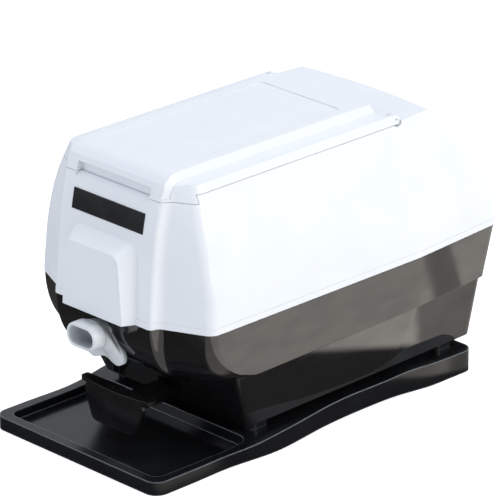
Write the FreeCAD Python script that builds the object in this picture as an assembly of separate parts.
import FreeCAD, Part
import math
import os

Vector = FreeCAD.Vector

# ---------------------------------------------------------------- driving dimensions (mm)
# Origin: centre of the footprint on the table. Front is -Y, right is +X, up is +Z.

# Body envelope: white top cover over a black lower housing, seam between them.
FRONT_Y = -132.0
REAR_Y = 157.1
SEAM_Z = 95.0
SEAM_HALF_WIDTH = 77.8
TOP_Z = 193.0
SHOULDER_Z = TOP_Z - 9.0
SHOULDER_HALF_WIDTH = 58.7
SIDE_BULGE = 1.95
RIM_HEIGHT = 4.2
RIM_PROUD = 0.4
SHELL_WALL = 2.6
SPLIT_GAP = 0.3

# Plan of the body: raised front face, facets, long sides, drawn-in rear.
FACE_HALF_WIDTH = 43.2
FACE_LEAN = 5.2
FACE_ROLL = 7.3
FACE_ROLL_POWER = 3.2
FACE_STEP = 6.4
FACE_STEP_LOSS = 0.6
CREASE_X = 45.6
CREASE_FLARE = 0.9
CREASE_FLARE_POWER = 5
FACET_DEPTH = 21.1
FACET_SWEEP = 5.6
FACET_RADIUS = 8.0
SIDE_END_Y = 72.0
REAR_NARROWING = 6.2
REAR_BOW = 5.2
REAR_CROWN = 0.082
REAR_TUCK = 12.5
REAR_RADIUS = 7.0
REAR_LEAN = 0.80
REAR_BREAK_Y = 106.6
REAR_SLOPE_BOW = 5.2
REAR_SLOPE_CORNER = 12.0
REAR_SOFTENING = 3.0

# Chin of the lower housing, and the line where the housing meets the pedestal.
CHIN_DEPTH = 22.0
CHIN_CORNER_GROWTH = 30.0
STEP_FRONT_Z = 58.0
STEP_REAR_Z = 62.0
HOUSING_FLOOR = 3.0

# Pedestal pan.
PEDESTAL_FRONT_Y = -89.0
PEDESTAL_REAR_Y = 138.0
PEDESTAL_LIP = 1.8
PEDESTAL_TOP_REAR_X = 72.8
PEDESTAL_BASE_FRONT_Y = -70.2
PEDESTAL_BASE_REAR_Y = 136.8
PEDESTAL_BASE_FRONT_X = 65.5
PEDESTAL_BASE_REAR_X = 64.5
PEDESTAL_REAR_CORNER = 7.0
PEDESTAL_BASE_Z = 17.0
PEDESTAL_BASE_RISE = 3.0
PEDESTAL_WALL = 2.6

# Drip tray.
TRAY_FRONT_Y = -157.5
TRAY_REAR_Y = 127.5
TRAY_NOSE_X = 75.0
TRAY_HIP_X = 77.6
TRAY_WAIST_X = 70.3
TRAY_TAIL_X = 75.8
TRAY_NOSE_Z = 9.0
TRAY_DECK_Z = 13.0
TRAY_TAIL_Z = 15.5
TRAY_NOSE_CORNER = 9.0
TRAY_TAIL_CORNER = 8.0
TRAY_RIM = 7.0
TRAY_FLOOR = 3.0
TRAY_SKIN = 3.0
RECESS_END_Y = -70.5
FOOT_LENGTH = 14.0
FOOT_WIDTH = 9.0
FOOT_FRONT_Y = -55.5
FOOT_REAR_Y = 113.0
FOOT_INSET = 2.0

# Fill lid and its hinge.
LID_LEDGE_Z = TOP_Z - 5.5
LID_SEAM_Z = TOP_Z - 11.4
LID_FRONT_SEAM_Z = TOP_Z - 16.7
LID_STEP_Y = -106.0
LID_WALL = 2.4
PANEL_HALF_WIDTH = 42.5
PANEL_SLOPE = 2.6
PANEL_REAR_Y = 61.0
BROW_RADIUS = 15.0
BROW_CENTRE_Y = -106.5
DECK_Z = TOP_Z - 9.6
DECK_FRONT_Y = 73.4
HINGE_Y = 69.6
HINGE_RADIUS = 3.4
HINGE_GAP = 0.4
HINGE_PIN_RADIUS = 1.2
RUNNING_FIT = 0.05
EAR_X = 52.0
EAR_WIDTH = 3.5
EAR_RADIUS = 2.8
PIN_BOSS_RADIUS = 2.4
LID_RECESS_HALF_WIDTH = 36.0
LID_RECESS_FRONT_Y = -94.0
LID_RECESS_REAR_Y = 42.0
LID_RECESS_DEPTH = 0.6
WELL_PLATE_Z = TOP_Z - 20.6

# Finger slot, label plate and raised pad on the front.
SLOT_HALF_WIDTH = 33.0
SLOT_BOTTOM_Z = TOP_Z - 19.0
SLOT_TOP_Z = TOP_Z - 10.0
SLOT_BACK_Y = -116.4
SLOT_SLOPE = 5.5
LABEL_HALF_WIDTH = 32.0
LABEL_TOP_Z = TOP_Z - 26.0
LABEL_BOTTOM_Z = LABEL_TOP_Z - 13.0
LABEL_PROUD = 0.5
LABEL_SUNK = 0.3
PAD_FACE_Y = -140.5
PAD_FOOT_HALF_WIDTH = 27.0
PAD_TOP_HALF_WIDTH = 23.5
PAD_TOP_Z = 140.0
PAD_FLARE = 0.5
PAD_ROOT_Y = -125.0
PAD_CORNER = 6.0

# Spout.
SPOUT_MOUTH_Y = -150.5
SPOUT_THROAT_Y = -143.0
SPOUT_Z = 83.0
SPOUT_HALF_WIDTH = 15.6
SPOUT_HALF_HEIGHT = 10.2
SPOUT_CORNER = 8.0
SPOUT_WALL = 3.2
SPOUT_APRON_Y = -130.0
SPOUT_APRON_HALF_WIDTH = 16.2
SPOUT_APRON_TOP_Z = 92.5
SPOUT_APRON_BOTTOM_Z = 59.0
SPOUT_APRON_DEPTH = 3.2
SPOUT_NOTCH_RADIUS = 9.0
SPOUT_NOTCH_TOP_Z = 63.5
OUTLET_RADIUS = 5.0
OUTLET_WALL = 2.0

# Push lever.
LEVER_FACE_Y = -125.5
LEVER_BOW_RADIUS = 140.0
LEVER_THICKNESS = 2.6
LEVER_TOP_Z = 39.0
LEVER_BOTTOM_Z = 13.5
LEVER_TOP_HALF_WIDTH = 21.0
LEVER_HIP_HALF_WIDTH = 28.0
LEVER_HIP_Z = 33.5
LEVER_BOTTOM_HALF_WIDTH = 18.5
LEVER_LIP_HALF_WIDTH = 31.5
LEVER_LIP_DEPTH = 9.5
LEVER_ARM_HALF_WIDTH = 8.0
LEVER_ARM_BOTTOM_Z = 21.8
LEVER_ARM_TOP_Z = 29.0
LEVER_PIN_Y = -62.0
LEVER_PIN_Z = 30.0
LEVER_PIN_RADIUS = 2.0
LEVER_HUB_RADIUS = 5.0
LEVER_SLOT_GAP = 1.2
LEVER_TAIL = 12.0
LEVER_TAIL_HALF_WIDTH = 2.6
SPRING_WIRE = 0.9
SPRING_TURNS = 3
LUG_WIDTH = 3.0

# Microswitch above the lever's tail.
SWITCH_LENGTH = 20.0
SWITCH_WIDTH = 6.4
SWITCH_HEIGHT = 10.0
PLUNGER_RADIUS = 1.2
PLUNGER_DROP = 2.2
PLUNGER_GAP = 0.3

# Drive line: motor, coupling, impeller in the heated mixing chamber.
DRIVE_Z = 88.0
SHAFT_RADIUS = 3.0
ROTOR_RADIUS = 12.6
ROTOR_GAP = 0.5
STACK_FRONT_Y = -8.0
STACK_LENGTH = 36.0
STACK_HALF_HEIGHT = 20.0
STACK_LEFT_X = -22.0
COIL_LEG_X = 31.0
COIL_LEG_WIDTH = 10.0
COIL_THICKNESS = 8.0
COIL_FIT = 0.3
BRACKET_REACH = 12.0
BRACKET_THICKNESS = 2.0
BRACKET_HALF_WIDTH = 20.0
BUSH_RADIUS = 6.0
BUSH_LENGTH = 8.0
FAN_RADIUS = 21.0
FAN_HUB_RADIUS = 7.0
FAN_WIDTH = 9.0
FAN_BLADES = 6
COUPLING_RADIUS = 7.0
COUPLING_LENGTH = 14.0
CHAMBER_FRONT_Y = -100.0
CHAMBER_LENGTH = 50.0
CHAMBER_RADIUS = 21.0
CHAMBER_WALL = 4.0
CHAMBER_LID = 5.0
GASKET_THICKNESS = 1.0
IMPELLER_RADIUS = 15.5
IMPELLER_VANES = 6
SEAL_RADIUS = 7.0
SEAL_LENGTH = 5.0
HEATER_RADIUS = 4.0
CRADLE_HALF_WIDTH = 14.0
OUTLET_FIT = 0.1

# Liquid soap reservoir under the lid.
TANK_FRONT_Y = -62.0
TANK_REAR_Y = 58.0
TANK_HALF_WIDTH = 46.0
TANK_BOTTOM_Z = 126.0
TANK_WALL = 2.0
TANK_CORNER = 10.0
NECK_Y = 5.0
NECK_RADIUS = 21.0
NECK_TOP_Z = WELL_PLATE_Z + 2.2
CAP_RADIUS = 24.0
CAP_THICKNESS = 2.6
CAP_GRIP_HEIGHT = 3.4
CAP_PLUG_DEPTH = 8.0
CAP_CLEARANCE = 0.3
FEED_TUBE_RADIUS = 3.5

# Foam valve, reached under the lid.
VALVE_X = 0.0
VALVE_Y = -88.0
VALVE_RADIUS = 7.0
VALVE_DEPTH = 24.0
AIR_TUBE_RADIUS = 3.0
KNOB_RADIUS = 9.0
KNOB_HEIGHT = 9.0
KNOB_RIBS = 12
STEM_RADIUS = 2.5

# Rear wall: rocker switch and cord gland.
ROCKER_X = -42.0
ROCKER_Z = 84.0
ROCKER_HALF_WIDTH = 6.0
ROCKER_HALF_HEIGHT = 7.5
ROCKER_TILT = 8.0
ROCKER_SEAT = 1.4
BEZEL = 1.8
SWITCH_BODY_DEPTH = 18.0
GLAND_X = 42.0
GLAND_Z = 83.0
GLAND_RADIUS = 7.0
GLAND_FLANGE = 3.6
GLAND_BORE_RADIUS = 3.6

# Fasteners.
SCREW_RADIUS = 2.0
SCREW_HEAD_RADIUS = 3.8
SCREW_HEAD_HEIGHT = 2.4
SCREW_CLEARANCE = 0.2
BOSS_RADIUS = 5.0
COVER_SCREW_X = 62.0
COVER_SCREW_FRONT_Y = -82.0
COVER_SCREW_REAR_Y = 128.0

FAR = 400.0


# ---------------------------------------------------------------- shape helpers
def box(x0, x1, y0, y1, z0, z1):
    return Part.makeBox(x1 - x0, y1 - y0, z1 - z0, Vector(x0, y0, z0))


def rod(radius, start, end):
    axis = end - start
    return Part.makeCylinder(radius, axis.Length, start, axis)


def rod_y(radius, x, z, y0, y1):
    return rod(radius, Vector(x, y0, z), Vector(x, y1, z))


def rod_x(radius, y, z, x0, x1):
    return rod(radius, Vector(x0, y, z), Vector(x1, y, z))


def rod_z(radius, x, y, z0, z1):
    return rod(radius, Vector(x, y, z0), Vector(x, y, z1))


def joined(shapes):
    return shapes[0].fuse(shapes[1:]).removeSplitter() if len(shapes) > 1 else shapes[0]


def both_sides(shape):
    return [shape, shape.mirror(Vector(0, 0, 0), Vector(1, 0, 0))]


def side_prism(points, half_width, x_middle=0.0):
    """Extrusion along X of a closed polygon of (y, z) points."""
    wire = Part.makePolygon([Vector(x_middle - half_width, y, z) for y, z in points + points[:1]])
    return Part.Face(wire).extrude(Vector(2 * half_width, 0, 0))


def front_prism(points, y0, y1):
    """Extrusion along Y of a closed polygon of (x, z) points."""
    wire = Part.makePolygon([Vector(x, y0, z) for x, z in points + points[:1]])
    return Part.Face(wire).extrude(Vector(0, y1 - y0, 0))


def rounded_outline(corners, lift):
    """Closed wire through (a, b, radius) corners, placed in space by lift(a, b)."""
    count = len(corners)
    edges = []
    arcs = []
    for index, (a, b, radius) in enumerate(corners):
        here = Vector(a, b, 0)
        before = (Vector(*corners[index - 1][:2], 0) - here).normalize()
        after = (Vector(*corners[(index + 1) % count][:2], 0) - here).normalize()
        half = before.getAngle(after) / 2
        reach = radius / math.tan(half)
        middle = here + (before + after).normalize() * (radius / math.sin(half) - radius)
        arcs.append((here + before * reach, middle, here + after * reach))
    for index, (start, middle, end) in enumerate(arcs):
        following = arcs[(index + 1) % count][0]
        edges.append(Part.Arc(lift(start), lift(middle), lift(end)).toShape())
        edges.append(Part.LineSegment(lift(end), lift(following)).toShape())
    return Part.Wire(edges)


def at_height(z):
    return lambda point: Vector(point.x, point.y, z)


def at_depth(y):
    return lambda point: Vector(point.x, y, point.y)


def inset_corners(corners, inset):
    """The same counter-clockwise outline moved inwards by a wall thickness."""
    count = len(corners)
    moved = []
    for index, (x, y, radius) in enumerate(corners):
        here = Vector(x, y, 0)
        along = (here - Vector(*corners[index - 1][:2], 0)).normalize()
        onward = (Vector(*corners[(index + 1) % count][:2], 0) - here).normalize()
        inward = Vector(-along.y, along.x, 0) + Vector(-onward.y, onward.x, 0)
        scale = inset / (1 + along.dot(onward))
        turn = along.x * onward.y - along.y * onward.x
        new_radius = max(radius - inset, 0.6) if turn > 0 else radius + inset
        moved.append((x + inward.x * scale, y + inward.y * scale, new_radius))
    return moved


def mirrored(right_half):
    """Counter-clockwise outline from the corners of its right half, front to rear."""
    left_half = [(-a, b, radius) for a, b, radius in reversed(right_half) if a > 0]
    return right_half + left_half


def plate(corners, z0, z1):
    return Part.Face(rounded_outline(corners, at_height(z0))).extrude(Vector(0, 0, z1 - z0))


# ---------------------------------------------------------------- body skin
def body_corners(z):
    """Plan outline of the body at height z."""
    rise = max(z - SEAM_Z, 0.0) / (SHOULDER_Z - SEAM_Z)
    drop = min(max(SEAM_Z - z, 0.0) / (SEAM_Z - STEP_FRONT_Z), 1.0)
    chin = CHIN_DEPTH * (1 - math.sqrt(1 - drop * drop))
    half_width = SEAM_HALF_WIDTH - (SEAM_HALF_WIDTH - SHOULDER_HALF_WIDTH) * rise ** SIDE_BULGE
    face_y = FRONT_Y + FACE_LEAN * rise + FACE_ROLL * rise ** FACE_ROLL_POWER + chin
    crease_x = CREASE_X + CREASE_FLARE * rise ** CREASE_FLARE_POWER
    crease_y = face_y + FACE_STEP - FACE_STEP_LOSS * rise
    facet_y = FRONT_Y + FACET_DEPTH + FACET_SWEEP * min(rise, 1.0) ** 6 + 0.85 * chin
    rear_centre_y = REAR_Y - REAR_TUCK * drop
    rear_x = half_width - REAR_NARROWING + 1.5 * drop
    return mirrored([
        (FACE_HALF_WIDTH, face_y, 3.0),
        (crease_x, crease_y, 6.0),
        (half_width, facet_y, FACET_RADIUS + CHIN_CORNER_GROWTH * chin / CHIN_DEPTH),
        (half_width, SIDE_END_Y, 90.0),
        (rear_x, rear_centre_y - REAR_BOW, REAR_RADIUS),
        (0.0, rear_centre_y + 0.8, REAR_CROWN * rear_x ** 2),
    ])


def skin(levels, inset=0.0):
    wires = [rounded_outline(inset_corners(body_corners(z), inset), at_height(z)) for z in levels]
    return Part.makeLoft(wires, True, False)


COVER_LEVELS = [SEAM_Z, 110.0, 126.0, 142.0, 158.0, 172.0, 183.0, TOP_Z]
HOUSING_LEVELS = [SEAM_Z, 86.0, 76.0, 68.0, 62.0, 59.2, STEP_FRONT_Z]


def step_z(y):
    """Height of the slightly rising line between housing and pedestal."""
    share = (y - PEDESTAL_FRONT_Y) / (PEDESTAL_REAR_Y - PEDESTAL_FRONT_Y)
    return STEP_FRONT_Z + (STEP_REAR_Z - STEP_FRONT_Z) * share


def below_step(offset=-2.0):
    """Room under that line; left as it is, the skin's own flat underside in front stays uncut."""
    front_z = STEP_FRONT_Z + offset
    rise = max(offset, 0.0)
    return side_prism([
        (-FAR, 0), (FAR, 0), (FAR, step_z(FAR) + rise),
        (PEDESTAL_FRONT_Y, STEP_FRONT_Z + rise), (PEDESTAL_FRONT_Y - 4, front_z), (-FAR, front_z),
    ], FAR)


# ---------------------------------------------------------------- casings
def brow_profile(radius, top_z, rear_points):
    """Side profile of the lid: front brow arc up to top_z, then the rear points."""
    centre_z = TOP_Z - BROW_RADIUS
    limit = math.asin(min((top_z - centre_z) / radius, 1.0))
    arc = [(BROW_CENTRE_Y - radius * math.cos(limit * step / 8), centre_z + radius * math.sin(limit * step / 8))
           for step in range(9)]
    return [(-FAR, centre_z)] + arc + rear_points


def hinge_arc(radius):
    hinge_z = LID_LEDGE_Z - HINGE_RADIUS
    return [(HINGE_Y + radius * math.sin(math.radians(15 * step)),
             hinge_z + radius * math.cos(math.radians(15 * step))) for step in range(7)]


def rear_wall_y(z, inset=0.0):
    """Leaning rear face of the cover, at its middle."""
    return REAR_BREAK_Y + (DECK_Z - z) * REAR_LEAN - inset / math.cos(math.atan(REAR_LEAN))


def rear_slope(inset=0.0):
    """Everything in front of the bowed, leaning rear face, which turns softly into the deck."""
    wires = []
    for z, tuck in [(SEAM_Z - 5, 0.0), (DECK_Z - REAR_SOFTENING, 0.0), (DECK_Z + REAR_SOFTENING, REAR_SOFTENING)]:
        share = (TOP_Z - z) / (TOP_Z - SEAM_Z)
        side_x = SHOULDER_HALF_WIDTH + 3 + (SEAM_HALF_WIDTH - SHOULDER_HALF_WIDTH) * share - inset
        rear_y = rear_wall_y(z, inset) - tuck
        corners = mirrored([(side_x, FRONT_Y - 40, 3.0), (side_x, rear_y - REAR_SLOPE_BOW, REAR_SLOPE_CORNER - inset),
                            (0.0, rear_y + 0.8, REAR_CROWN * side_x ** 2)])
        wires.append(rounded_outline(corners, at_height(z)))
    return Part.makeLoft(wires, True, True)


def front_pad():
    depth = PAD_ROOT_Y - PAD_FACE_Y
    spread = PAD_FLARE * depth
    face = mirrored([(PAD_FOOT_HALF_WIDTH, SEAM_Z, 0.5), (PAD_TOP_HALF_WIDTH, PAD_TOP_Z, PAD_CORNER)])
    root = mirrored([(PAD_FOOT_HALF_WIDTH + spread, SEAM_Z, 0.5),
                     (PAD_TOP_HALF_WIDTH + spread, PAD_TOP_Z + spread, PAD_CORNER + spread / 2)])
    wires = [rounded_outline(face, at_depth(PAD_FACE_Y)), rounded_outline(root, at_depth(PAD_ROOT_Y))]
    return Part.makeLoft(wires, True, True)


def finger_slot(half_width):
    return side_prism([
        (-FAR, SLOT_BOTTOM_Z), (SLOT_BACK_Y - SLOT_SLOPE, SLOT_BOTTOM_Z), (SLOT_BACK_Y, SLOT_BOTTOM_Z + 3.2),
        (SLOT_BACK_Y, SLOT_TOP_Z), (-FAR, SLOT_TOP_Z),
    ], half_width)


def label_pocket():
    block = box(-LABEL_HALF_WIDTH, LABEL_HALF_WIDTH, -FAR, -100, LABEL_BOTTOM_Z, LABEL_TOP_Z)
    return block.cut(skin(COVER_LEVELS, LABEL_SUNK))


def cover_screw_places():
    return [(x, y) for x in (-COVER_SCREW_X, COVER_SCREW_X) for y in (COVER_SCREW_FRONT_Y, COVER_SCREW_REAR_Y)]


def make_top_cover():
    outer = skin(COVER_LEVELS).common(side_prism([
        (-FAR, SEAM_Z), (-FAR, LID_FRONT_SEAM_Z), (LID_STEP_Y, LID_FRONT_SEAM_Z), (LID_STEP_Y, LID_SEAM_Z),
        (DECK_FRONT_Y, LID_SEAM_Z), (DECK_FRONT_Y, DECK_Z), (FAR, DECK_Z), (FAR, SEAM_Z),
    ], FAR)).common(rear_slope())
    rim = skin([SEAM_Z, SEAM_Z + RIM_HEIGHT], -RIM_PROUD)
    outer = outer.fuse([rim, front_pad()])
    hollow = skin([SEAM_Z - 1] + COVER_LEVELS[1:], SHELL_WALL)
    plate_bottom = WELL_PLATE_Z - SHELL_WALL
    wall_rear = DECK_FRONT_Y + SHELL_WALL
    ceiling = DECK_Z - SHELL_WALL
    room = hollow.common(side_prism([
        (-FAR, SEAM_Z - 1), (-FAR, plate_bottom), (wall_rear, plate_bottom), (wall_rear, ceiling),
        (FAR, ceiling), (FAR, SEAM_Z - 1),
    ], FAR)).common(rear_slope(SHELL_WALL))
    well = hollow.common(box(-FAR, FAR, -FAR, DECK_FRONT_Y, WELL_PLATE_Z, FAR))
    sill = box(-SLOT_HALF_WIDTH - SHELL_WALL, SLOT_HALF_WIDTH + SHELL_WALL, -FAR, SLOT_BACK_Y + SHELL_WALL,
               SLOT_BOTTOM_Z - SHELL_WALL, LID_FRONT_SEAM_Z).common(outer)
    cover = outer.cut([room, well]).fuse(sill).cut([finger_slot(SLOT_HALF_WIDTH), label_pocket()])
    hinge_z = LID_LEDGE_Z - HINGE_RADIUS
    ears = []
    for side in (-1, 1):
        x0 = side * (EAR_X + EAR_WIDTH / 2) - EAR_WIDTH / 2
        column = box(x0, x0 + EAR_WIDTH, HINGE_Y - EAR_RADIUS, HINGE_Y + EAR_RADIUS, plate_bottom, hinge_z)
        web = box(x0, x0 + EAR_WIDTH, HINGE_Y, wall_rear, plate_bottom, LID_SEAM_Z - 2)
        ears += [column, web, rod_x(EAR_RADIUS, HINGE_Y, hinge_z, x0, x0 + EAR_WIDTH)]
    bosses = [rod_z(BOSS_RADIUS, x, y, SEAM_Z + SPLIT_GAP, SEAM_Z + 32) for x, y in cover_screw_places()]
    inside = skin(COVER_LEVELS, SHELL_WALL / 2).common(rear_slope(SHELL_WALL / 2))
    fins = [box(min(x, x * 1.3), max(x, x * 1.3), y - 1, y + 1, SEAM_Z + SPLIT_GAP, SEAM_Z + 32)
            for x, y in cover_screw_places()]
    lugs = joined(bosses + fins).common(inside)
    cover = cover.fuse(ears).fuse(lugs)
    pin_reach = EAR_X + EAR_WIDTH + 1
    cuts = [rod_x(HINGE_PIN_RADIUS + RUNNING_FIT, HINGE_Y, hinge_z, -pin_reach, pin_reach)]
    cuts += both_sides(rod_x(HINGE_RADIUS + HINGE_GAP, HINGE_Y, hinge_z, pin_reach, FAR))
    cuts += [rod_z(SCREW_RADIUS, x, y, SEAM_Z - 1, SEAM_Z + 26) for x, y in cover_screw_places()]
    cuts.append(rod_z(NECK_RADIUS + CAP_CLEARANCE, 0, NECK_Y, plate_bottom - 1, WELL_PLATE_Z + 1))
    cuts.append(rod_z(VALVE_RADIUS + CAP_CLEARANCE, VALVE_X, VALVE_Y, plate_bottom - 1, WELL_PLATE_Z + 1))
    return cover.cut(cuts).removeSplitter()


def ledge_brow_radius():
    return BROW_RADIUS - (TOP_Z - LID_LEDGE_Z)


def beside_panel():
    """What is taken away right of the raised panel, along the top and round the brow."""
    centre_z = TOP_Z - BROW_RADIUS
    outside = BROW_RADIUS + 9
    step = [(PANEL_HALF_WIDTH, BROW_RADIUS), (PANEL_HALF_WIDTH + PANEL_SLOPE, ledge_brow_radius()),
            (FAR, ledge_brow_radius()), (FAR, outside), (PANEL_HALF_WIDTH, outside)]
    along_top = front_prism([(x, centre_z + radius) for x, radius in step], BROW_CENTRE_Y, FAR)
    outline = Part.makePolygon([Vector(x, BROW_CENTRE_Y, centre_z + radius) for x, radius in step + step[:1]])
    round_brow = Part.Face(outline).revolve(Vector(0, BROW_CENTRE_Y, centre_z), Vector(1, 0, 0), 90)
    return along_top.fuse(round_brow)


def make_fill_lid():
    seam = LID_SEAM_Z + SPLIT_GAP
    front_seam = LID_FRONT_SEAM_Z + SPLIT_GAP
    hinge_z = LID_LEDGE_Z - HINGE_RADIUS
    rear = [(PANEL_REAR_Y, TOP_Z), (PANEL_REAR_Y + PANEL_SLOPE, LID_LEDGE_Z)] + hinge_arc(HINGE_RADIUS)
    rear += [(HINGE_Y + 2.2, seam), (LID_STEP_Y - SPLIT_GAP, seam), (LID_STEP_Y - SPLIT_GAP, front_seam),
             (-FAR, front_seam)]
    outer = skin(COVER_LEVELS).common(side_prism(brow_profile(BROW_RADIUS, TOP_Z, rear), FAR))
    inner_rear = [(HINGE_Y, LID_LEDGE_Z - LID_WALL)] + hinge_arc(HINGE_RADIUS - LID_WALL)
    inner_rear += [(HINGE_Y + HINGE_RADIUS - LID_WALL, 160), (-FAR, 160)]
    profile = brow_profile(ledge_brow_radius() - LID_WALL, LID_LEDGE_Z - LID_WALL, inner_rear)
    inner = skin(COVER_LEVELS, SHELL_WALL).common(side_prism(profile, FAR))
    pocket = box(-PANEL_HALF_WIDTH + LID_WALL, PANEL_HALF_WIDTH - LID_WALL, SLOT_BACK_Y + 8,
                 PANEL_REAR_Y - LID_WALL, LID_LEDGE_Z - LID_WALL - 1, TOP_Z - LID_WALL)
    slot_box = box(-SLOT_HALF_WIDTH - 2, SLOT_HALF_WIDTH + 2, -FAR, SLOT_BACK_Y + LID_WALL, front_seam,
                   SLOT_TOP_Z + 4).common(outer)
    lid = outer.cut([inner, pocket]).fuse(slot_box).cut(finger_slot(SLOT_HALF_WIDTH))
    lid = lid.cut(both_sides(beside_panel()))
    recess = plate(mirrored([(LID_RECESS_HALF_WIDTH, LID_RECESS_FRONT_Y, 3.0),
                             (LID_RECESS_HALF_WIDTH, LID_RECESS_REAR_Y, 3.0)]), TOP_Z - LID_RECESS_DEPTH, TOP_Z + 1)
    notch = box(EAR_X - HINGE_GAP, EAR_X + EAR_WIDTH + HINGE_GAP, HINGE_Y - EAR_RADIUS - 1.5,
                DECK_FRONT_Y, 160, TOP_Z + 1)
    corner = box(EAR_X + EAR_WIDTH + 2, FAR, HINGE_Y, DECK_FRONT_Y, 160, TOP_Z)
    corner = corner.cut(rod_x(PIN_BOSS_RADIUS, HINGE_Y, hinge_z, 0, FAR))
    corner = corner.common(box(0, FAR, HINGE_Y, DECK_FRONT_Y, 160, hinge_z))
    lid = lid.cut([recess] + both_sides(notch) + both_sides(corner))
    boss_x = EAR_X + EAR_WIDTH + HINGE_GAP
    boss = rod_x(PIN_BOSS_RADIUS, HINGE_Y, hinge_z, boss_x, boss_x + 6)
    boss = boss.fuse(box(boss_x, boss_x + 6, HINGE_Y - PIN_BOSS_RADIUS, HINGE_Y, hinge_z, LID_LEDGE_Z - 1))
    boss = boss.common(skin(COVER_LEVELS, SHELL_WALL / 2))
    hole = rod_x(HINGE_PIN_RADIUS, HINGE_Y, hinge_z, boss_x - 1, hinge_pin_end())
    return lid.fuse(both_sides(boss)).cut(both_sides(hole)).removeSplitter()


def hinge_pin_end():
    return EAR_X + EAR_WIDTH + 3.0


def make_lid_hinge_pins():
    hinge_z = LID_LEDGE_Z - HINGE_RADIUS
    return Part.Compound(both_sides(rod_x(HINGE_PIN_RADIUS, HINGE_Y, hinge_z, EAR_X, hinge_pin_end())))


def make_label_plate():
    block = box(-LABEL_HALF_WIDTH, LABEL_HALF_WIDTH, -FAR, -100, LABEL_BOTTOM_Z, LABEL_TOP_Z)
    return block.common(skin(COVER_LEVELS, -LABEL_PROUD)).cut(skin(COVER_LEVELS, LABEL_SUNK))


def housing_envelope(inset=0.0):
    levels = [SEAM_Z - SPLIT_GAP] + HOUSING_LEVELS[1:]
    if inset:
        levels = [SEAM_Z + 1] + HOUSING_LEVELS[1:5] + [STEP_FRONT_Z + HOUSING_FLOOR]
    return skin(levels, inset)


def rear_panel_cuts():
    """Openings in the rear wall for the rocker switch and the cord gland."""
    rocker = box(ROCKER_X - ROCKER_HALF_WIDTH, ROCKER_X + ROCKER_HALF_WIDTH, 120, FAR,
                 ROCKER_Z - ROCKER_HALF_HEIGHT, ROCKER_Z + ROCKER_HALF_HEIGHT)
    return [rocker, rod_y(GLAND_RADIUS, GLAND_X, GLAND_Z, 120, FAR)]


def make_lower_housing():
    outer = housing_envelope().cut(below_step())
    room = housing_envelope(SHELL_WALL).cut(below_step(HOUSING_FLOOR))
    housing = outer.cut(room)
    inside = housing_envelope(SHELL_WALL / 2)
    columns = [rod_z(BOSS_RADIUS, x, y, STEP_FRONT_Z, SEAM_Z - SPLIT_GAP) for x, y in cover_screw_places()]
    columns += [box(min(x, x * 1.3), max(x, x * 1.3), y - 1, y + 1, STEP_FRONT_Z, SEAM_Z - SPLIT_GAP)
                for x, y in cover_screw_places()]
    columns = joined(columns).common(inside).cut(below_step(HOUSING_FLOOR / 2))
    housing = housing.fuse(columns)
    cuts = [rod_z(SCREW_RADIUS + SCREW_CLEARANCE, x, y, 0, SEAM_Z) for x, y in cover_screw_places()]
    cuts += [rod_z(SCREW_HEAD_RADIUS + SCREW_CLEARANCE, x, y, 0, cover_screw_seat(y)) for x, y in cover_screw_places()]
    cuts += rear_panel_cuts()
    cuts.append(rod_y(outlet_outer_radius() + OUTLET_FIT, 0, SPOUT_Z, FRONT_Y - 9, CHAMBER_FRONT_Y))
    return housing.cut(cuts).removeSplitter()


def cover_screw_seat(y):
    return step_z(y) + SCREW_HEAD_HEIGHT + 2


def make_cover_screws():
    screws = []
    for x, y in cover_screw_places():
        seat = cover_screw_seat(y)
        shank = rod_z(SCREW_RADIUS, x, y, seat - 1, SEAM_Z + 20)
        screws.append(shank.fuse(rod_z(SCREW_HEAD_RADIUS, x, y, seat - SCREW_HEAD_HEIGHT, seat)).removeSplitter())
    return Part.Compound(screws)


# ---------------------------------------------------------------- pedestal and tray
def base_tilt(offset=0.0):
    """Half space under the slightly rising underside of the pedestal."""
    rise = PEDESTAL_BASE_RISE / (PEDESTAL_BASE_REAR_Y - PEDESTAL_BASE_FRONT_Y)
    return side_prism([
        (-FAR, -50), (FAR, -50), (FAR, PEDESTAL_BASE_Z + rise * (FAR - PEDESTAL_BASE_FRONT_Y) + offset),
        (PEDESTAL_BASE_FRONT_Y, PEDESTAL_BASE_Z + offset), (-FAR, PEDESTAL_BASE_Z + offset),
    ], FAR)


def pedestal_envelope(inset=0.0):
    side_x = SEAM_HALF_WIDTH - PEDESTAL_LIP
    top = mirrored([(side_x, PEDESTAL_FRONT_Y, 4.0), (side_x, SIDE_END_Y, 90.0),
                    (PEDESTAL_TOP_REAR_X, PEDESTAL_REAR_Y, PEDESTAL_REAR_CORNER)])
    side_base_x = PEDESTAL_BASE_FRONT_X - 0.4
    base = mirrored([(PEDESTAL_BASE_FRONT_X, PEDESTAL_BASE_FRONT_Y, 4.0), (side_base_x, SIDE_END_Y - 10, 90.0),
                     (PEDESTAL_BASE_REAR_X, PEDESTAL_BASE_REAR_Y, PEDESTAL_REAR_CORNER)])
    wires = [rounded_outline(inset_corners(base, inset), at_height(PEDESTAL_BASE_Z)),
             rounded_outline(inset_corners(top, inset), at_height(STEP_REAR_Z))]
    return Part.makeLoft(wires, True, True)


def foot_places():
    x = PEDESTAL_BASE_REAR_X - FOOT_INSET - FOOT_WIDTH / 2 + 0.5
    return [(side * x, y) for side in (-1, 1) for y in (FOOT_FRONT_Y, FOOT_REAR_Y)]


def lug_inner_x():
    return LEVER_ARM_HALF_WIDTH + SPRING_WIRE * (SPRING_TURNS + 2)


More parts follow.
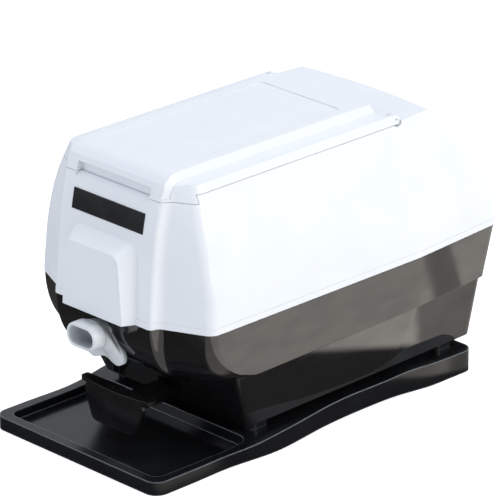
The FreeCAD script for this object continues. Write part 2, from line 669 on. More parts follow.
def make_pedestal():
    outer = pedestal_envelope().cut(base_tilt())
    room = pedestal_envelope(PEDESTAL_WALL).cut(base_tilt(PEDESTAL_WALL))
    pan = outer.cut(room)
    floor = PEDESTAL_BASE_Z + PEDESTAL_WALL / 2
    solids = [rod_z(BOSS_RADIUS, x, y, floor, PEDESTAL_BASE_Z + 14) for x, y in foot_places()]
    lug_x = lug_inner_x()
    for side in (-1, 1):
        x0 = side * (lug_x + LUG_WIDTH / 2) - LUG_WIDTH / 2
        column = box(x0, x0 + LUG_WIDTH, LEVER_PIN_Y - 5, LEVER_PIN_Y + 5, floor, LEVER_PIN_Z)
        solids += [column, rod_x(5.0, LEVER_PIN_Y, LEVER_PIN_Z, x0, x0 + LUG_WIDTH)]
    switch_y = LEVER_PIN_Y + LEVER_TAIL
    solids.append(box(SWITCH_WIDTH / 2, SWITCH_WIDTH / 2 + 3, switch_y - 6, switch_y + SWITCH_LENGTH - 4,
                      floor, switch_bottom_z() + SWITCH_HEIGHT))
    pan = pan.fuse(joined(solids).cut(base_tilt(PEDESTAL_WALL / 2)))
    arm_half = LEVER_ARM_HALF_WIDTH + LEVER_SLOT_GAP
    cuts = [box(-arm_half, arm_half, PEDESTAL_FRONT_Y, LEVER_PIN_Y, PEDESTAL_BASE_Z + PEDESTAL_WALL + 0.3,
                LEVER_ARM_TOP_Z + 2 * LEVER_SLOT_GAP),
            rod_x(LEVER_PIN_RADIUS, LEVER_PIN_Y, LEVER_PIN_Z, -lug_x - LUG_WIDTH, lug_x + LUG_WIDTH)]
    cuts += [rod_z(SCREW_RADIUS, x, y, 0, PEDESTAL_BASE_Z + 12) for x, y in foot_places()]
    return pan.cut(cuts).common(below_step()).removeSplitter()


def tray_plan(inset=0.0):
    """Waisted plan of the tray: a smooth side line between nose and tail, with rounded corners."""
    nose_x = TRAY_NOSE_X - inset
    tail_x = TRAY_TAIL_X - inset
    front_y = TRAY_FRONT_Y + inset
    rear_y = TRAY_REAR_Y - inset
    nose = TRAY_NOSE_CORNER - inset
    tail = TRAY_TAIL_CORNER - inset
    nose_sag, tail_sag = (radius * (1 - math.sqrt(0.5)) for radius in (nose, tail))
    side = [(nose_x, TRAY_FRONT_Y + 30), (nose_x - 0.4, -93.0), (TRAY_HIP_X - inset, -58.5),
            (TRAY_WAIST_X + 2.3 - inset, -12.5), (TRAY_WAIST_X - inset, 35.0), (TRAY_WAIST_X + 1.3 - inset, 62.5),
            (tail_x - 0.6, 84.0), (tail_x, 104.0)]
    line = Part.BSplineCurve()
    line.interpolate(Points=[Vector(x, y, 0) for x, y in side], InitialTangent=Vector(0, 1, 0),
                     FinalTangent=Vector(0, 1, 0))
    right = [
        Part.LineSegment(Vector(0, front_y, 0), Vector(nose_x - nose, front_y, 0)),
        Part.Arc(Vector(nose_x - nose, front_y, 0), Vector(nose_x - nose_sag, front_y + nose_sag, 0),
                 Vector(nose_x, front_y + nose, 0)),
        Part.LineSegment(Vector(nose_x, front_y + nose, 0), Vector(*side[0], 0)),
        line,
        Part.LineSegment(Vector(*side[-1], 0), Vector(tail_x, rear_y - tail, 0)),
        Part.Arc(Vector(tail_x, rear_y - tail, 0), Vector(tail_x - tail_sag, rear_y - tail_sag, 0),
                 Vector(tail_x - tail, rear_y, 0)),
        Part.LineSegment(Vector(tail_x - tail, rear_y, 0), Vector(0, rear_y, 0)),
    ]
    edges = [edge.toShape() for edge in right]
    mirror_edges = [edge.mirror(Vector(0, 0, 0), Vector(1, 0, 0)) for edge in edges]
    return Part.Wire(Part.__sortEdges__(edges + mirror_edges))


def tray_top_profile(drop=0.0):
    """Side profile of everything under the tray's top surface, lowered by drop."""
    top = [(TRAY_FRONT_Y - 5, TRAY_NOSE_Z), (-92.5, TRAY_NOSE_Z), (-72.5, TRAY_NOSE_Z + 1), (-54.5, TRAY_DECK_Z - 1),
           (-29.5, TRAY_DECK_Z - 0.4), (22.5, TRAY_DECK_Z + 0.5), (57.5, TRAY_DECK_Z + 0.9),
           (70.0, TRAY_TAIL_Z - 0.3), (90.0, TRAY_TAIL_Z), (TRAY_REAR_Y + 5, TRAY_TAIL_Z)]
    line = Part.BSplineCurve()
    line.interpolate([Vector(-FAR, y, z - drop) for y, z in top])
    first = Vector(-FAR, top[0][0], top[0][1] - drop)
    last = Vector(-FAR, top[-1][0], top[-1][1] - drop)
    foot = [Vector(-FAR, last.y, -1), Vector(-FAR, first.y, -1)]
    wire = Part.Wire([line.toShape(), Part.makeLine(last, foot[0]), Part.makeLine(foot[0], foot[1]),
                      Part.makeLine(foot[1], first)])
    return Part.Face(wire).extrude(Vector(2 * FAR, 0, 0))


def tray_block(wire, z0, z1):
    return Part.Face(wire.translated(Vector(0, 0, z0))).extrude(Vector(0, 0, z1 - z0))


def make_drip_tray():
    headroom = TRAY_TAIL_Z + 5
    body = tray_block(tray_plan(), 0, headroom).common(tray_top_profile())
    rim_x = TRAY_NOSE_X - TRAY_RIM
    recess = plate(mirrored([(rim_x, TRAY_FRONT_Y + TRAY_RIM, TRAY_NOSE_CORNER - 2), (rim_x, RECESS_END_Y, TRAY_NOSE_CORNER)]),
                   TRAY_FLOOR, headroom)
    cavity = tray_block(tray_plan(TRAY_SKIN), -1, headroom).common(tray_top_profile(TRAY_SKIN))
    cavity = cavity.common(box(-FAR, FAR, RECESS_END_Y + TRAY_SKIN, FAR, -1, FAR))
    boss_bottom = TRAY_DECK_Z - 7
    bosses = [rod_z(BOSS_RADIUS, x, y, boss_bottom, TRAY_DECK_Z).common(tray_top_profile(1.0))
              for x, y in foot_places()]
    tray = body.cut(recess).cut(cavity).fuse(bosses)
    return tray.cut([rod_z(SCREW_RADIUS + SCREW_CLEARANCE, x, y, -1, 30) for x, y in foot_places()])


def make_standoff_feet():
    feet = []
    for x, y in foot_places():
        corners = [(x - FOOT_WIDTH / 2, y - FOOT_LENGTH / 2, 3.0), (x + FOOT_WIDTH / 2, y - FOOT_LENGTH / 2, 3.0),
                   (x + FOOT_WIDTH / 2, y + FOOT_LENGTH / 2, 3.0), (x - FOOT_WIDTH / 2, y + FOOT_LENGTH / 2, 3.0)]
        foot = plate(corners, 2, 30).cut(tray_top_profile()).common(base_tilt())
        feet.append(foot.cut(rod_z(SCREW_RADIUS + SCREW_CLEARANCE, x, y, -1, 30)))
    return Part.Compound([solid for foot in feet for solid in foot.Solids])


def make_tray_screws():
    screws = []
    for x, y in foot_places():
        seat = TRAY_DECK_Z - 7
        shank = rod_z(SCREW_RADIUS, x, y, seat - 1, PEDESTAL_BASE_Z + 10)
        screws.append(shank.fuse(rod_z(SCREW_HEAD_RADIUS, x, y, seat - SCREW_HEAD_HEIGHT, seat)).removeSplitter())
    return Part.Compound(screws)


# ---------------------------------------------------------------- spout
def oval_section(y, inset=0.0):
    """Rounded slot shape of the mouth collar."""
    half_width = SPOUT_HALF_WIDTH - inset
    half_height = SPOUT_HALF_HEIGHT - inset
    corners = mirrored([(half_width, SPOUT_Z - half_height, SPOUT_CORNER - inset),
                        (half_width, SPOUT_Z + half_height, SPOUT_CORNER - inset)])
    return rounded_outline(corners, at_depth(y))


def apron_section(y):
    corners = mirrored([
        (SPOUT_APRON_HALF_WIDTH - 2.5, SPOUT_APRON_BOTTOM_Z, 4.0),
        (SPOUT_APRON_HALF_WIDTH, SPOUT_Z - SPOUT_HALF_HEIGHT, 4.0),
        (SPOUT_APRON_HALF_WIDTH, SPOUT_APRON_TOP_Z, 5.0),
    ])
    return rounded_outline(corners, at_depth(y))


def outlet_outer_radius():
    return OUTLET_RADIUS + OUTLET_WALL


def make_spout():
    """Oval mouth collar on a neck that spreads down into a two-lobed apron over the chin."""
    collar = Part.makeLoft([oval_section(SPOUT_THROAT_Y), oval_section(SPOUT_MOUTH_Y)], True, True)
    rim = [edge for edge in collar.Edges if abs(edge.BoundBox.YMax - SPOUT_MOUTH_Y) < 0.1]
    collar = collar.makeFillet(0.8, rim)
    neck_bottom = SPOUT_Z - SPOUT_HALF_HEIGHT + 1.5
    neck = Part.makeLoft([
        rounded_outline(mirrored([(SPOUT_HALF_WIDTH - 3.5, neck_bottom, 4.0), (SPOUT_HALF_WIDTH - 0.3, SPOUT_Z, 5.0),
                                  (SPOUT_HALF_WIDTH - 2.0, SPOUT_Z + SPOUT_HALF_HEIGHT - 0.4, 5.0)]),
                        at_depth(SPOUT_THROAT_Y - 1)),
        apron_section(SPOUT_APRON_Y)], True, True)
    apron = Part.Face(apron_section(SPOUT_APRON_Y)).extrude(Vector(0, CHAMBER_FRONT_Y - SPOUT_APRON_Y, 0))
    behind = side_prism([(SPOUT_APRON_Y + SPOUT_APRON_DEPTH, 40), (SPOUT_APRON_Y + SPOUT_APRON_DEPTH, 74),
                         (0, 74), (0, 40)], FAR)
    notch = rod_y(SPOUT_NOTCH_RADIUS, 0, SPOUT_NOTCH_TOP_Z - SPOUT_NOTCH_RADIUS, SPOUT_MOUTH_Y, 0)
    mouth = Part.makeLoft([oval_section(SPOUT_MOUTH_Y - 1, SPOUT_WALL), oval_section(SPOUT_THROAT_Y + 5, SPOUT_WALL + 1)],
                          True, True)
    bore = rod_y(outlet_outer_radius() + OUTLET_FIT, 0, SPOUT_Z, SPOUT_THROAT_Y + 8, 0)
    throat = rod_y(OUTLET_RADIUS, 0, SPOUT_Z, SPOUT_THROAT_Y, 0)
    body = collar.fuse([neck, apron])
    return body.cut([housing_envelope(), behind, notch, mouth, bore, throat]).removeSplitter()


# ---------------------------------------------------------------- push lever and microswitch
def make_push_lever():
    """Bowed paddle with a flange along its top, on an arm that turns on the pin."""
    back_y = LEVER_FACE_Y + LEVER_THICKNESS
    face = mirrored([(LEVER_BOTTOM_HALF_WIDTH, LEVER_BOTTOM_Z, 5.0), (LEVER_HIP_HALF_WIDTH, LEVER_HIP_Z, 6.0),
                     (LEVER_TOP_HALF_WIDTH, LEVER_TOP_Z, 2.5)])
    front = Part.Face(rounded_outline(face, at_depth(LEVER_FACE_Y - 1))).extrude(Vector(0, 12, 0))
    centre_y = LEVER_FACE_Y + LEVER_BOW_RADIUS
    bow = rod_z(LEVER_BOW_RADIUS, 0, centre_y, 0, LEVER_TOP_Z)
    front = front.common(bow).cut(rod_z(LEVER_BOW_RADIUS - LEVER_THICKNESS, 0, centre_y, 0, LEVER_TOP_Z))
    lip_y = LEVER_FACE_Y + LEVER_LIP_DEPTH
    lip = plate(mirrored([(LEVER_TOP_HALF_WIDTH, LEVER_FACE_Y - 1, 2.5), (LEVER_LIP_HALF_WIDTH, lip_y - 5.5, 1.5),
                          (LEVER_LIP_HALF_WIDTH, lip_y, 1.5)]), LEVER_TOP_Z - LEVER_THICKNESS, LEVER_TOP_Z)
    lip = lip.common(bow)
    arm = box(-LEVER_ARM_HALF_WIDTH, LEVER_ARM_HALF_WIDTH, back_y - 0.5, LEVER_PIN_Y, LEVER_ARM_BOTTOM_Z,
              LEVER_ARM_TOP_Z)
    rib = side_prism([(back_y - 0.5, LEVER_ARM_TOP_Z - 1), (back_y - 0.5, LEVER_TOP_Z - 1),
                      (lip_y, LEVER_TOP_Z - 1),
                      (back_y + 16, LEVER_ARM_TOP_Z - 1)], 1.5)
    hub = rod_x(LEVER_HUB_RADIUS, LEVER_PIN_Y, LEVER_PIN_Z, -LEVER_ARM_HALF_WIDTH, LEVER_ARM_HALF_WIDTH)
    tail = box(-LEVER_TAIL_HALF_WIDTH, LEVER_TAIL_HALF_WIDTH, LEVER_PIN_Y, LEVER_PIN_Y + LEVER_TAIL + 3,
               LEVER_PIN_Z - 2.5, LEVER_PIN_Z + 1.5)
    lever = joined([front, lip, arm, rib, hub, tail])
    bore = rod_x(LEVER_PIN_RADIUS + RUNNING_FIT, LEVER_PIN_Y, LEVER_PIN_Z, -FAR, FAR)
    return lever.cut(bore).removeSplitter()


def make_lever_pin():
    end = lug_inner_x() + LUG_WIDTH
    return rod_x(LEVER_PIN_RADIUS, LEVER_PIN_Y, LEVER_PIN_Z, -end, end)


def make_lever_spring():
    pitch = SPRING_WIRE * 1.1
    mean_radius = LEVER_PIN_RADIUS + SPRING_WIRE / 2 + 0.15
    path = Part.makeHelix(pitch, pitch * SPRING_TURNS, mean_radius)
    section = Part.Wire(Part.makeCircle(SPRING_WIRE / 2, Vector(mean_radius, 0, 0), Vector(0, 1, 0)))
    coil = Part.Wire(path.Edges).makePipeShell([section], True, True)
    coil.rotate(Vector(0, 0, 0), Vector(0, 1, 0), 90)
    coil.translate(Vector(LEVER_ARM_HALF_WIDTH + 0.4 + SPRING_WIRE / 2, LEVER_PIN_Y, LEVER_PIN_Z))
    return coil


def switch_bottom_z():
    return LEVER_PIN_Z + 1.5 + PLUNGER_GAP + PLUNGER_DROP


def make_microswitch():
    y = LEVER_PIN_Y + LEVER_TAIL
    z = switch_bottom_z()
    body = box(-SWITCH_WIDTH / 2, SWITCH_WIDTH / 2, y - 5, y - 5 + SWITCH_LENGTH, z, z + SWITCH_HEIGHT)
    body = body.cut(rod_z(PLUNGER_RADIUS + RUNNING_FIT, 0, y, z - 1, z + 6))
    tags = [box(-0.4, 0.4, y - 2 + 6 * index, y + 1 + 6 * index, z + SWITCH_HEIGHT - 0.5, z + SWITCH_HEIGHT + 5)
            for index in range(3)]
    return joined([body] + tags)


def make_switch_plunger():
    y = LEVER_PIN_Y + LEVER_TAIL
    z = switch_bottom_z()
    return rod_z(PLUNGER_RADIUS, 0, y, z - PLUNGER_DROP, z + 4)


# ---------------------------------------------------------------- motor and drive line
def make_motor_stack():
    right = COIL_LEG_X + COIL_LEG_WIDTH / 2
    y1 = STACK_FRONT_Y + STACK_LENGTH
    stack = box(STACK_LEFT_X, right, STACK_FRONT_Y, y1, DRIVE_Z - STACK_HALF_HEIGHT, DRIVE_Z + STACK_HALF_HEIGHT)
    window_x0 = COIL_LEG_X - COIL_LEG_WIDTH / 2 - COIL_THICKNESS
    window = box(window_x0 - 1, COIL_LEG_X - COIL_LEG_WIDTH / 2, STACK_FRONT_Y - 1, y1 + 1,
                 DRIVE_Z - STACK_HALF_HEIGHT + 8, DRIVE_Z + STACK_HALF_HEIGHT - 8)
    bore = rod_y(ROTOR_RADIUS + ROTOR_GAP, 0, DRIVE_Z, STACK_FRONT_Y - 1, y1 + 1)
    holes = [rod_y(SCREW_RADIUS + SCREW_CLEARANCE, x, z, STACK_FRONT_Y - 1, y1 + 1) for x, z in motor_screw_places()]
    return stack.cut([window, bore] + holes)


def motor_screw_places():
    reach = ROTOR_RADIUS + ROTOR_GAP + SCREW_RADIUS
    return [(side * (reach - 1.5), DRIVE_Z + lift * (reach - 0.5)) for side in (-1, 1) for lift in (-1, 1)]


def make_motor_coil():
    y1 = STACK_FRONT_Y + STACK_LENGTH
    half_leg = COIL_LEG_WIDTH / 2
    height = STACK_HALF_HEIGHT - 8 - COIL_FIT
    x0 = COIL_LEG_X - half_leg - COIL_THICKNESS
    outer = [(x0, STACK_FRONT_Y - COIL_THICKNESS, 5.0), (COIL_LEG_X + half_leg + COIL_THICKNESS,
             STACK_FRONT_Y - COIL_THICKNESS, 5.0), (COIL_LEG_X + half_leg + COIL_THICKNESS, y1 + COIL_THICKNESS, 5.0),
             (x0, y1 + COIL_THICKNESS, 5.0)]
    winding = plate(outer, DRIVE_Z - height, DRIVE_Z + height)
    return winding.cut(box(COIL_LEG_X - half_leg - COIL_FIT, COIL_LEG_X + half_leg + COIL_FIT,
                           STACK_FRONT_Y - COIL_FIT, y1 + COIL_FIT, DRIVE_Z - 30, DRIVE_Z + 30))


def bracket_planes():
    front = STACK_FRONT_Y - BRACKET_REACH
    rear = STACK_FRONT_Y + STACK_LENGTH + BRACKET_REACH
    return front, rear


def make_motor_brackets():
    """Two bent plates that carry the bushes and stand on the housing floor."""
    front, rear = bracket_planes()
    pieces = []
    for plane, inward, foot_y in ((front, 1, front), (rear, -1, rear)):
        y0 = min(plane, plane - inward * BRACKET_THICKNESS)
        face = box(-BRACKET_HALF_WIDTH, BRACKET_HALF_WIDTH, y0, y0 + BRACKET_THICKNESS,
                   step_z(foot_y) + HOUSING_FLOOR - 1, DRIVE_Z + BRACKET_HALF_WIDTH - 2)
        foot = box(-BRACKET_HALF_WIDTH, BRACKET_HALF_WIDTH, min(y0, y0 - inward * 9),
                   max(y0, y0 - inward * 9) + BRACKET_THICKNESS, 40, step_z(foot_y) + HOUSING_FLOOR + 2)
        bracket = joined([face, foot]).cut(below_step(HOUSING_FLOOR))
        holes = [rod_y(BUSH_RADIUS, 0, DRIVE_Z, -FAR, FAR)]
        holes += [rod_y(SCREW_RADIUS + SCREW_CLEARANCE, x, z, -FAR, FAR) for x, z in motor_screw_places()]
        pieces.append(bracket.cut(holes).removeSplitter())
    spacers = []
    for x, z in motor_screw_places():
        for y0, y1 in ((front, STACK_FRONT_Y), (STACK_FRONT_Y + STACK_LENGTH, rear)):
            tube = rod_y(SCREW_RADIUS + 1.5, x, z, y0, y1)
            spacers.append(tube.cut(rod_y(SCREW_RADIUS + SCREW_CLEARANCE, x, z, y0 - 1, y1 + 1)))
    return Part.Compound(pieces), Part.Compound(spacers)


def make_motor_screws():
    front, rear = bracket_planes()
    screws = []
    for x, z in motor_screw_places():
        shank = rod_y(SCREW_RADIUS, x, z, front - BRACKET_THICKNESS - 1, rear + BRACKET_THICKNESS + 1)
        head_y = front - BRACKET_THICKNESS
        nut_y = rear + BRACKET_THICKNESS
        head = rod_y(SCREW_HEAD_RADIUS, x, z, head_y - SCREW_HEAD_HEIGHT, head_y)
        nut = rod_y(SCREW_HEAD_RADIUS - 0.3, x, z, nut_y, nut_y + 1.8)
        screws.append(joined([shank, head, nut]))
    return Part.Compound(screws)


def make_shaft_bushes():
    front, rear = bracket_planes()
    bushes = []
    for y0 in (front - BUSH_LENGTH / 2 - 1, rear - BUSH_LENGTH / 2 + 1):
        sleeve = rod_y(BUSH_RADIUS, 0, DRIVE_Z, y0, y0 + BUSH_LENGTH)
        bushes.append(sleeve.cut(rod_y(SHAFT_RADIUS + RUNNING_FIT, 0, DRIVE_Z, y0 - 1, y0 + BUSH_LENGTH + 1)))
    return Part.Compound(bushes)


def coupling_span():
    front, _ = bracket_planes()
    rear_end = front - BUSH_LENGTH / 2 - 3
    return rear_end - COUPLING_LENGTH, rear_end


def make_motor_shaft():
    _, rear = bracket_planes()
    start, end = coupling_span()
    middle = (start + end) / 2
    return rod_y(SHAFT_RADIUS, 0, DRIVE_Z, middle + 0.5, rear + BUSH_LENGTH / 2 + 4 + FAN_WIDTH)


def make_motor_rotor():
    rotor = rod_y(ROTOR_RADIUS, 0, DRIVE_Z, STACK_FRONT_Y, STACK_FRONT_Y + STACK_LENGTH)
    return rotor.cut(rod_y(SHAFT_RADIUS, 0, DRIVE_Z, -FAR, FAR))


def make_cooling_fan():
    _, rear = bracket_planes()
    y0 = rear + BUSH_LENGTH / 2 + 3
    pieces = [rod_y(FAN_HUB_RADIUS, 0, DRIVE_Z, y0, y0 + FAN_WIDTH)]
    for index in range(FAN_BLADES):
        blade = box(-0.8, 0.8, y0 + 1, y0 + FAN_WIDTH - 1, FAN_HUB_RADIUS - 1, FAN_RADIUS)
        blade.rotate(Vector(0, y0 + FAN_WIDTH / 2, 0), Vector(0, 0, 1), 32)
        blade.rotate(Vector(0, 0, 0), Vector(0, 1, 0), 360 * index / FAN_BLADES)
        pieces.append(blade.translated(Vector(0, 0, DRIVE_Z)))
    return joined(pieces).cut(rod_y(SHAFT_RADIUS, 0, DRIVE_Z, -FAR, FAR)).removeSplitter()


def make_shaft_coupling():
    start, end = coupling_span()
    sleeve = rod_y(COUPLING_RADIUS, 0, DRIVE_Z, start, end).cut(rod_y(SHAFT_RADIUS, 0, DRIVE_Z, -FAR, FAR))
    screws = [rod_z(1.2, 0, y, DRIVE_Z + SHAFT_RADIUS + 0.5, DRIVE_Z + COUPLING_RADIUS + 2)
              for y in (start + 3.5, end - 3.5)]
    return sleeve.cut(screws)


def chamber_rear_y():
    return CHAMBER_FRONT_Y + CHAMBER_LENGTH


def make_impeller_shaft():
    start, end = coupling_span()
    middle = (start + end) / 2
    return rod_y(SHAFT_RADIUS, 0, DRIVE_Z, CHAMBER_FRONT_Y + CHAMBER_LID + 6, middle - 0.5)


def make_impeller():
    """Frothing wheel: a back disc, a hub and a ring of straight vanes."""
    y1 = chamber_rear_y() - CHAMBER_WALL - 2
    y0 = CHAMBER_FRONT_Y + CHAMBER_LID + 5
    pieces = [rod_y(5.5, 0, DRIVE_Z, y0, y1), rod_y(IMPELLER_RADIUS, 0, DRIVE_Z, y1 - 2, y1)]
    for index in range(IMPELLER_VANES):
        vane = box(-0.9, 0.9, y0 + 3, y1 - 1, 4.5, IMPELLER_RADIUS - 1)
        vane.rotate(Vector(0, 0, 0), Vector(0, 1, 0), 360 * index / IMPELLER_VANES)
        pieces.append(vane.translated(Vector(0, 0, DRIVE_Z)))
    return joined(pieces).cut(rod_y(SHAFT_RADIUS, 0, DRIVE_Z, -FAR, FAR)).removeSplitter()


def chamber_screw_places():
    ring = CHAMBER_RADIUS + 3.5
    return [(ring * math.cos(math.radians(angle)), DRIVE_Z + ring * math.sin(math.radians(angle)))
            for angle in (45, 135, 225, 315)]


def make_mixing_chamber():
    front = CHAMBER_FRONT_Y + CHAMBER_LID + GASKET_THICKNESS
    rear = chamber_rear_y()
    pieces = [rod_y(CHAMBER_RADIUS, 0, DRIVE_Z, front, rear)]
    pieces += [rod_y(BOSS_RADIUS - 0.5, x, z, front, front + 12) for x, z in chamber_screw_places()]
    foot_y = (front + rear) / 2
    cradle = box(-CRADLE_HALF_WIDTH, CRADLE_HALF_WIDTH, front, rear, 40, DRIVE_Z - 8)
    cradle = cradle.cut(below_step(HOUSING_FLOOR))
    pieces.append(cradle)
    pieces.append(rod_z(BOSS_RADIUS + 1, 0, foot_y, DRIVE_Z, DRIVE_Z + CHAMBER_RADIUS + 1))
    block = joined(pieces)
    heater_x, heater_z = heater_place()
    cuts = [rod_y(CHAMBER_RADIUS - CHAMBER_WALL, 0, DRIVE_Z, front - 1, rear - CHAMBER_WALL),
            rod_y(SEAL_RADIUS, 0, DRIVE_Z, rear - CHAMBER_WALL - 1, rear + 1),
            rod_z(FEED_TUBE_RADIUS, 0, foot_y, DRIVE_Z, DRIVE_Z + 40),
            rod_z(AIR_TUBE_RADIUS, VALVE_X, VALVE_Y, DRIVE_Z, DRIVE_Z + 40),
            rod_y(HEATER_RADIUS, heater_x, heater_z, front + 4, rear + 1)]
    cuts += [rod_y(SCREW_RADIUS, x, z, front - 1, front + 10) for x, z in chamber_screw_places()]
    return block.cut(cuts).removeSplitter()


def heater_place():
    return 0.0, DRIVE_Z - CHAMBER_RADIUS + CHAMBER_WALL - HEATER_RADIUS - 1.0


def make_chamber_cover():
    rear = CHAMBER_FRONT_Y + CHAMBER_LID
    disc = rod_y(CHAMBER_RADIUS, 0, DRIVE_Z, CHAMBER_FRONT_Y, rear)
    ears = [rod_y(BOSS_RADIUS - 0.5, x, z, CHAMBER_FRONT_Y, rear) for x, z in chamber_screw_places()]
    nozzle = rod_y(outlet_outer_radius(), 0, SPOUT_Z, SPOUT_THROAT_Y + 8, CHAMBER_FRONT_Y + 1)
    cover = joined([disc] + ears + [nozzle])
    cuts = [rod_y(OUTLET_RADIUS, 0, SPOUT_Z, -FAR, 0)]
    cuts += [rod_y(SCREW_RADIUS + SCREW_CLEARANCE, x, z, -FAR, 0) for x, z in chamber_screw_places()]
    return cover.cut(cuts).removeSplitter()


def make_chamber_gasket():
    front = CHAMBER_FRONT_Y + CHAMBER_LID
    ring = rod_y(CHAMBER_RADIUS, 0, DRIVE_Z, front, front + GASKET_THICKNESS)
    return ring.cut(rod_y(CHAMBER_RADIUS - CHAMBER_WALL, 0, DRIVE_Z, front - 1, front + 2))


def make_chamber_screws():
    screws = []
    for x, z in chamber_screw_places():
        shank = rod_y(SCREW_RADIUS, x, z, CHAMBER_FRONT_Y - 1, CHAMBER_FRONT_Y + 14)
        head = rod_y(SCREW_HEAD_RADIUS, x, z, CHAMBER_FRONT_Y - SCREW_HEAD_HEIGHT, CHAMBER_FRONT_Y)
        screws.append(joined([shank, head]))
    return Part.Compound(screws)


def make_shaft_seal():
    y1 = chamber_rear_y()
    ring = rod_y(SEAL_RADIUS, 0, DRIVE_Z, y1 - SEAL_LENGTH + 1, y1)
    return ring.cut(rod_y(SHAFT_RADIUS + RUNNING_FIT, 0, DRIVE_Z, y1 - 20, y1 + 20))


def make_heater():
    x, z = heater_place()
    return rod_y(HEATER_RADIUS, x, z, CHAMBER_FRONT_Y + CHAMBER_LID + GASKET_THICKNESS + 4, chamber_rear_y() + 6)


def make_thermostat():
    y = chamber_rear_y() - 12
    base = rod_x(8.0, y, DRIVE_Z, CHAMBER_RADIUS - 2, CHAMBER_RADIUS + 9)
    tags = [box(CHAMBER_RADIUS + 8, CHAMBER_RADIUS + 15, y - 0.4, y + 0.4, DRIVE_Z + lift - 2, DRIVE_Z + lift + 2)
            for lift in (-4, 4)]
    return joined([base] + tags).cut(rod_y(CHAMBER_RADIUS, 0, DRIVE_Z, -FAR, FAR))


# ---------------------------------------------------------------- reservoir, cap and feed
def tank_corners(inset=0.0):
    half = TANK_HALF_WIDTH
    return inset_corners([(-half, TANK_FRONT_Y, TANK_CORNER), (half, TANK_FRONT_Y, TANK_CORNER),
                          (half, TANK_REAR_Y, TANK_CORNER), (-half, TANK_REAR_Y, TANK_CORNER)], inset)


def make_soap_tank():
    top = WELL_PLATE_Z - SHELL_WALL
    shell = plate(tank_corners(), TANK_BOTTOM_Z, top)
    neck = rod_z(NECK_RADIUS, 0, NECK_Y, top - 1, NECK_TOP_Z)
    spigot_y = feed_y()
    spigot = rod_z(FEED_TUBE_RADIUS + 1.5, 0, spigot_y, TANK_BOTTOM_Z - 6, TANK_BOTTOM_Z + 1)
    room = plate(tank_corners(TANK_WALL), TANK_BOTTOM_Z + TANK_WALL, top - TANK_WALL)
    cuts = [room, rod_z(NECK_RADIUS - TANK_WALL, 0, NECK_Y, top - TANK_WALL - 1, NECK_TOP_Z + 1),
            rod_z(FEED_TUBE_RADIUS, 0, spigot_y, TANK_BOTTOM_Z - 7, TANK_BOTTOM_Z + TANK_WALL + 1)]
    return joined([shell, neck, spigot]).cut(cuts).removeSplitter()


def feed_y():
    front = CHAMBER_FRONT_Y + CHAMBER_LID + GASKET_THICKNESS
    return max((front + chamber_rear_y()) / 2, TANK_FRONT_Y + 12)


def make_reservoir_cap():
    plug_radius = NECK_RADIUS - TANK_WALL - CAP_CLEARANCE
    top = rod_z(CAP_RADIUS, 0, NECK_Y, NECK_TOP_Z, NECK_TOP_Z + CAP_THICKNESS)
    plug = rod_z(plug_radius, 0, NECK_Y, NECK_TOP_Z - CAP_PLUG_DEPTH, NECK_TOP_Z + 1)
    grip = box(-CAP_RADIUS + 6, CAP_RADIUS - 6, NECK_Y - 2.5, NECK_Y + 2.5, NECK_TOP_Z, NECK_TOP_Z + CAP_THICKNESS + CAP_GRIP_HEIGHT)
    hollow = rod_z(plug_radius - 2, 0, NECK_Y, NECK_TOP_Z - CAP_PLUG_DEPTH - 1, NECK_TOP_Z)
    groove = rod_z(plug_radius + 1, 0, NECK_Y, seal_z(), seal_z() + 2.0)
    groove = groove.cut(rod_z(plug_radius - 1.0, 0, NECK_Y, seal_z() - 1, seal_z() + 3))
    return joined([top, plug, grip]).cut([hollow, groove]).removeSplitter()


def seal_z():
    return NECK_TOP_Z - CAP_PLUG_DEPTH + 2.0


def make_cap_seal():
    plug_radius = NECK_RADIUS - TANK_WALL - CAP_CLEARANCE
    ring = rod_z(plug_radius + 0.15, 0, NECK_Y, seal_z() + 0.1, seal_z() + 1.9)
    return ring.cut(rod_z(plug_radius - 1.0, 0, NECK_Y, seal_z() - 1, seal_z() + 3))


def make_feed_tube():
    """Soap line from the tank spigot, over to the boss on the chamber."""
    chamber_y = (CHAMBER_FRONT_Y + CHAMBER_LID + GASKET_THICKNESS + chamber_rear_y()) / 2
    run_z = DRIVE_Z + CHAMBER_RADIUS + FEED_TUBE_RADIUS + 2
    low = Vector(0, chamber_y, DRIVE_Z + CHAMBER_RADIUS - CHAMBER_WALL + 1)
    knee_low = Vector(0, chamber_y, run_z)
    knee_top = Vector(0, feed_y(), run_z)
    top = Vector(0, feed_y(), TANK_BOTTOM_Z)
    runs = [rod(FEED_TUBE_RADIUS, low, knee_low), rod(FEED_TUBE_RADIUS, knee_low, knee_top),
            rod(FEED_TUBE_RADIUS, knee_top, top)]
    balls = [Part.makeSphere(FEED_TUBE_RADIUS, knee_low), Part.makeSphere(FEED_TUBE_RADIUS, knee_top)]
    return joined(runs + balls)


def make_valve_body():
    z0 = WELL_PLATE_Z - VALVE_DEPTH
    barrel = rod_z(VALVE_RADIUS, VALVE_X, VALVE_Y, z0, WELL_PLATE_Z + 2)
    collar = rod_z(VALVE_RADIUS + 3, VALVE_X, VALVE_Y, WELL_PLATE_Z, WELL_PLATE_Z + 2)
    bore = rod_z(STEM_RADIUS + RUNNING_FIT, VALVE_X, VALVE_Y, z0 + 8, WELL_PLATE_Z + 3)
    return joined([barrel, collar]).cut(bore).removeSplitter()


def make_air_tube():
    """Drop tube from the foam valve into the top of the mixing chamber."""
    low = DRIVE_Z + CHAMBER_RADIUS - CHAMBER_WALL + 1
    return rod_z(AIR_TUBE_RADIUS, VALVE_X, VALVE_Y, low, WELL_PLATE_Z - VALVE_DEPTH)


